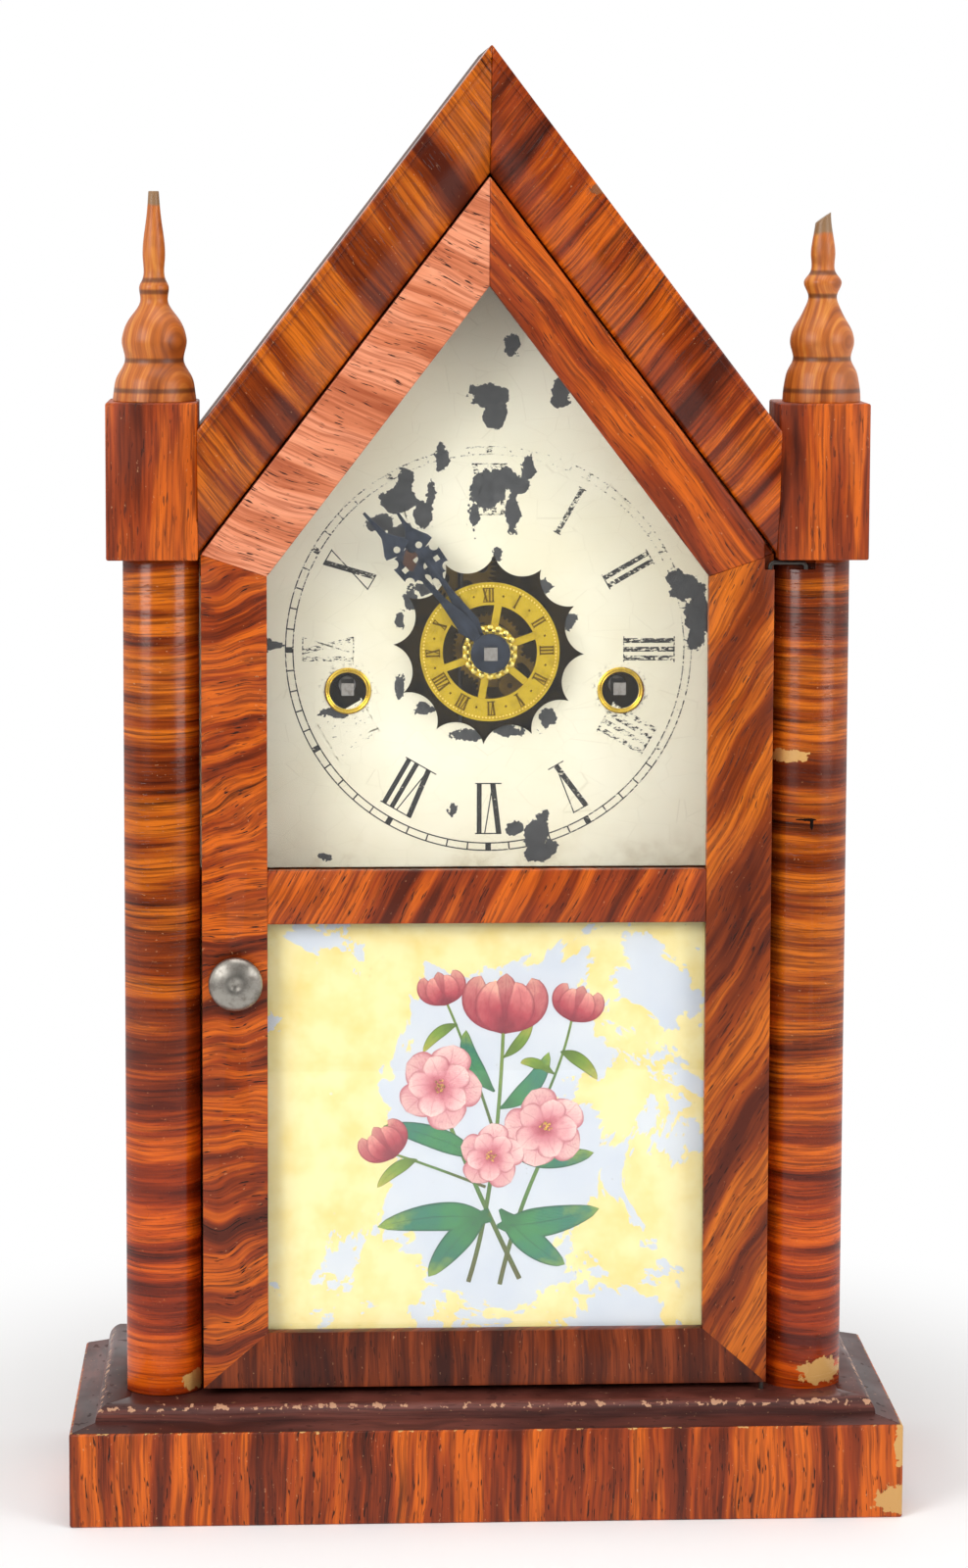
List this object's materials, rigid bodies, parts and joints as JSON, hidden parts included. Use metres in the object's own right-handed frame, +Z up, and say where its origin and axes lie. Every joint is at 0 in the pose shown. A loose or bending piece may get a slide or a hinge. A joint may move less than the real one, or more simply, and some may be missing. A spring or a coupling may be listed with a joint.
{
  "type": "steeple clock",
  "caption": "Gabled wooden shelf clock with turned finials, glazed hinged door, pierced hands, alarm disc and a striking pendulum movement inside.",
  "frame": {"origin": "middle of the base's underside", "axes": "+Z up, front towards -Y, +X to the viewer's right"},
  "size_m": [0.2888, 0.108, 0.508],
  "materials": {
    "rosewood_veneer": "glossy shellac",
    "dark_moulding": "worn shellac",
    "turned_walnut": "satin",
    "case_pine": "bare",
    "clear_glass": "clear",
    "painted_glass": "painted behind",
    "painted_zinc": "worn paint",
    "bright_brass": "polished",
    "movement_brass": "dull",
    "iron_wire": "dull",
    "blued_steel": "blued",
    "gong_iron": "japanned",
    "nickel_knob": "worn nickel"
  },
  "bodies": {
    "case": {"plinth_front": "rosewood_veneer", "plinth_sides": "rosewood_veneer", "case_floor": "case_pine", "base_moulding_front": "dark_moulding", "base_moulding_sides": "dark_moulding", "case_sides": "case_pine", "backboard": "case_pine", "roof_boards": "case_pine", "column_left": "rosewood_veneer", "column_right": "rosewood_veneer", "block_left": "rosewood_veneer", "block_right": "rosewood_veneer", "finial_left": "turned_walnut", "finial_right": "turned_walnut", "roof_moulding_left": "rosewood_veneer", "roof_moulding_right": "rosewood_veneer", "hinge_wires": "iron_wire", "dial_plate": "painted_zinc", "dial_grommets": "bright_brass", "dial_strips": "case_pine", "movement_front_plate": "movement_brass", "movement_back_plate": "movement_brass", "movement_pillars": "iron_wire", "mainsprings": "blued_steel", "gong_coil": "blued_steel", "gong_base": "gong_iron", "alarm_works": "movement_brass", "alarm_bell": "bright_brass"},
    "door": {"door_stile_left": "rosewood_veneer", "door_stile_right": "rosewood_veneer", "door_bottom_rail": "rosewood_veneer", "door_middle_rail": "rosewood_veneer", "door_rake_left": "rosewood_veneer", "door_rake_right": "rosewood_veneer", "dial_glass": "clear_glass", "tablet_glass": "painted_glass"},
    "door_latch": {"door_knob": "nickel_knob", "latch_tongue": "movement_brass"},
    "minute_work": {"cannon_pinion": "movement_brass", "minute_hand": "blued_steel"},
    "minute_wheel": {"minute_wheel": "movement_brass"},
    "hour_work": {"hour_wheel": "movement_brass", "hour_hand": "blued_steel"},
    "alarm_setting": {"alarm_disc": "bright_brass"},
    "escape": {"escape_wheel": "movement_brass"},
    "third": {"third_wheel": "movement_brass"},
    "centre": {"centre_wheel": "movement_brass"},
    "second": {"second_wheel": "movement_brass"},
    "time_great": {"time_great_wheel": "movement_brass"},
    "time_winding": {"time_winding_arbor": "iron_wire"},
    "pendulum": {"pendulum_rod": "iron_wire", "pendulum_bob": "bright_brass"},
    "verge": {"verge": "iron_wire"},
    "fly": {"fly": "movement_brass"},
    "warning": {"warning_wheel": "movement_brass"},
    "strike_second": {"strike_second_wheel": "movement_brass"},
    "strike_great": {"strike_great_wheel": "movement_brass"},
    "strike_winding": {"strike_winding_arbor": "iron_wire"},
    "strike_hammer": {"hammer": "iron_wire"},
    "alarm_hammer": {"alarm_hammer": "iron_wire"}
  },
  "joints": [
    {"name": "door_hinge", "type": "hinge", "parent": "case", "child": "door", "pos_m": [0.0972, -0.0326, 0.19], "axis": [0, 0, 1], "range_deg": [0, 92]},
    {"name": "latch_turn", "type": "hinge", "parent": "door", "child": "door_latch", "pos_m": [-0.0871, -0.034, 0.1865], "axis": [0, 1, 0], "range_deg": [0, 90]},
    {"name": "minute_hand_turn", "type": "hinge", "parent": "case", "child": "minute_work", "pos_m": [0.0015, 0, 0.299], "axis": [0, 1, 0], "continuous": true},
    {"name": "minute_wheel_turn", "type": "hinge", "parent": "case", "child": "minute_wheel", "pos_m": [0.009, 0, 0.28601], "axis": [0, 1, 0], "continuous": true},
    {"name": "hour_hand_turn", "type": "hinge", "parent": "case", "child": "hour_work", "pos_m": [0.0015, 0, 0.299], "axis": [0, 1, 0], "continuous": true},
    {"name": "alarm_set", "type": "hinge", "parent": "hour_work", "child": "alarm_setting", "pos_m": [0.0015, 0, 0.299], "axis": [0, 1, 0], "continuous": true},
    {"name": "escape_wheel_turn", "type": "hinge", "parent": "case", "child": "escape", "pos_m": [-0.008, 0, 0.327], "axis": [0, 1, 0], "continuous": true},
    {"name": "third_wheel_turn", "type": "hinge", "parent": "case", "child": "third", "pos_m": [0.00881, 0, 0.31762], "axis": [0, 1, 0], "continuous": true},
    {"name": "centre_wheel_turn", "type": "hinge", "parent": "case", "child": "centre", "pos_m": [0.0015, 0, 0.299], "axis": [0, 1, 0], "continuous": true},
    {"name": "second_wheel_turn", "type": "hinge", "parent": "case", "child": "second", "pos_m": [0.01848, 0, 0.28664], "axis": [0, 1, 0], "continuous": true},
    {"name": "time_great_wheel_turn", "type": "hinge", "parent": "case", "child": "time_great", "pos_m": [0.048, 0, 0.2845], "axis": [0, 1, 0], "continuous": true},
    {"name": "time_winding_turn", "type": "hinge", "parent": "time_great", "child": "time_winding", "pos_m": [0.048, 0, 0.2845], "axis": [0, 1, 0], "continuous": true},
    {"name": "pendulum_swing", "type": "hinge", "parent": "case", "child": "pendulum", "pos_m": [-0.008, 0.006, 0.346], "axis": [0, 1, 0], "range_deg": [-3.5, 3.5]},
    {"name": "verge_rock", "type": "hinge", "parent": "case", "child": "verge", "pos_m": [-0.008, 0.006, 0.346], "axis": [0, 1, 0], "range_deg": [-3.5, 3.5]},
    {"name": "fly_turn", "type": "hinge", "parent": "case", "child": "fly", "pos_m": [-0.0305, 0, 0.34593], "axis": [0, 1, 0], "continuous": true},
    {"name": "warning_wheel_turn", "type": "hinge", "parent": "case", "child": "warning", "pos_m": [-0.02776, 0, 0.33042], "axis": [0, 1, 0], "continuous": true},
    {"name": "strike_second_wheel_turn", "type": "hinge", "parent": "case", "child": "strike_second", "pos_m": [-0.0332, 0, 0.31013], "axis": [0, 1, 0], "continuous": true},
    {"name": "strike_great_wheel_turn", "type": "hinge", "parent": "case", "child": "strike_great", "pos_m": [-0.048, 0, 0.2845], "axis": [0, 1, 0], "continuous": true},
    {"name": "strike_winding_turn", "type": "hinge", "parent": "strike_great", "child": "strike_winding", "pos_m": [-0.048, 0, 0.2845], "axis": [0, 1, 0], "continuous": true},
    {"name": "hammer_lift", "type": "hinge", "parent": "case", "child": "strike_hammer", "pos_m": [-0.062, 0, 0.316], "axis": [0, 1, 0], "range_deg": [0, 5]},
    {"name": "alarm_hammer_swing", "type": "hinge", "parent": "case", "child": "alarm_hammer", "pos_m": [0.06, 0, 0.104], "axis": [0, 1, 0], "range_deg": [-20, 0]}
  ],
  "couplings": [
    {"joint": "minute_wheel_turn", "follows": "minute_hand_turn", "ratio": -0.33333},
    {"joint": "hour_hand_turn", "follows": "minute_hand_turn", "ratio": 0.083333},
    {"joint": "third_wheel_turn", "follows": "escape_wheel_turn", "ratio": -0.1},
    {"joint": "centre_wheel_turn", "follows": "escape_wheel_turn", "ratio": 0.011111},
    {"joint": "second_wheel_turn", "follows": "escape_wheel_turn", "ratio": -0.0018519},
    {"joint": "time_great_wheel_turn", "follows": "escape_wheel_turn", "ratio": 0.00028935},
    {"joint": "verge_rock", "follows": "pendulum_swing", "ratio": 1},
    {"joint": "warning_wheel_turn", "follows": "fly_turn", "ratio": -0.125},
    {"joint": "strike_second_wheel_turn", "follows": "fly_turn", "ratio": 0.020833},
    {"joint": "strike_great_wheel_turn", "follows": "fly_turn", "ratio": -0.0032552}
  ]
}
